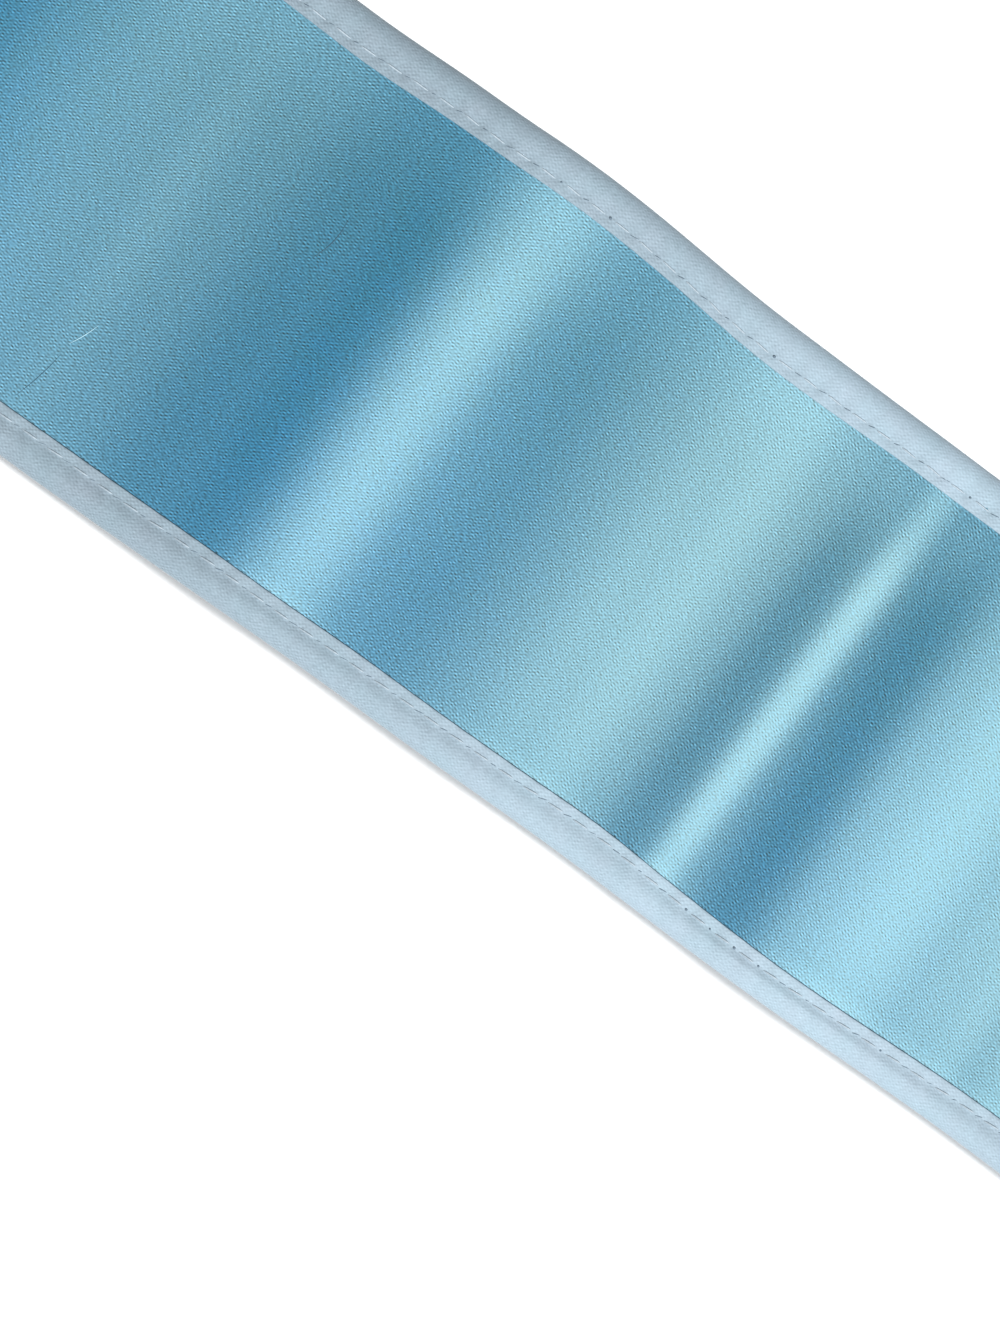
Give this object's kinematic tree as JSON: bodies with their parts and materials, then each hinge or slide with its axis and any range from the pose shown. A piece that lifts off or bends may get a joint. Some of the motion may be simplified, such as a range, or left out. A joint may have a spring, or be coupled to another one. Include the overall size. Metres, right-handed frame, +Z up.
{
  "type": "silk belt",
  "caption": "Long flat blue satin sash belt, bound on every side with narrow pale matt binding, laid out straight with soft crosswise waves.",
  "frame": {"origin": "on the surface the belt lies on, under the middle of its length and width", "axes": "+X along the belt's length, +Y across its width, +Z up from the surface"},
  "size_m": [1.4, 0.0568, 0.0077],
  "materials": {
    "satin": "satin",
    "binding": "matt"
  },
  "bodies": {
    "root": {"satin_panel": "satin", "binding_far_edge": "binding", "binding_near_edge": "binding", "binding_left_end": "binding", "binding_right_end": "binding"}
  },
  "joints": []
}
